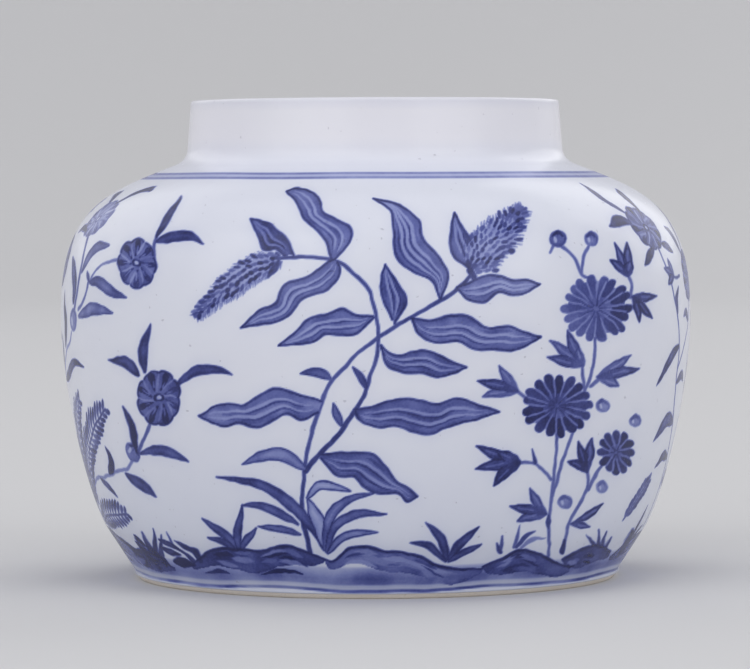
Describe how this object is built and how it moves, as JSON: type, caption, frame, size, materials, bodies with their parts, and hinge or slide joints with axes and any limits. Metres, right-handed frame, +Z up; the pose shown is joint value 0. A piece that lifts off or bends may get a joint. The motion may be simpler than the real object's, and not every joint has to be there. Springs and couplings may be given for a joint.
{
  "type": "jar",
  "caption": "Squat porcelain jar with rounded shoulders, a tapering lower wall and a short straight collar, painted with flowering plants in blue under a clear glaze.",
  "frame": {"origin": "middle of the plane that the foot ring rests on", "axes": "+Z up along the axis that the jar was turned about, through the middle of the mouth; -Y faces the crossing leafy stems"},
  "size_m": [0.13, 0.13, 0.0983],
  "materials": {
    "porcelain_body": "matte, fired clay under glaze",
    "luting_slip": "matte, fired slip under glaze",
    "foot_biscuit": "matte, wiped bare of glaze",
    "painted_glaze": "glossy, blue painting under a faintly blue clear glaze",
    "clear_glaze": "glossy, faintly blue clear glaze",
    "base_glaze": "glossy, clear glaze over two painted blue rings"
  },
  "bodies": {
    "root": {"foot_ring": "foot_biscuit", "base_disc": "porcelain_body", "lower_body": "porcelain_body", "waist_luting": "luting_slip", "upper_body": "porcelain_body", "neck_luting": "luting_slip", "neck_collar": "porcelain_body", "outer_glaze": "painted_glaze", "inner_glaze": "clear_glaze", "base_glaze": "base_glaze"}
  },
  "joints": []
}
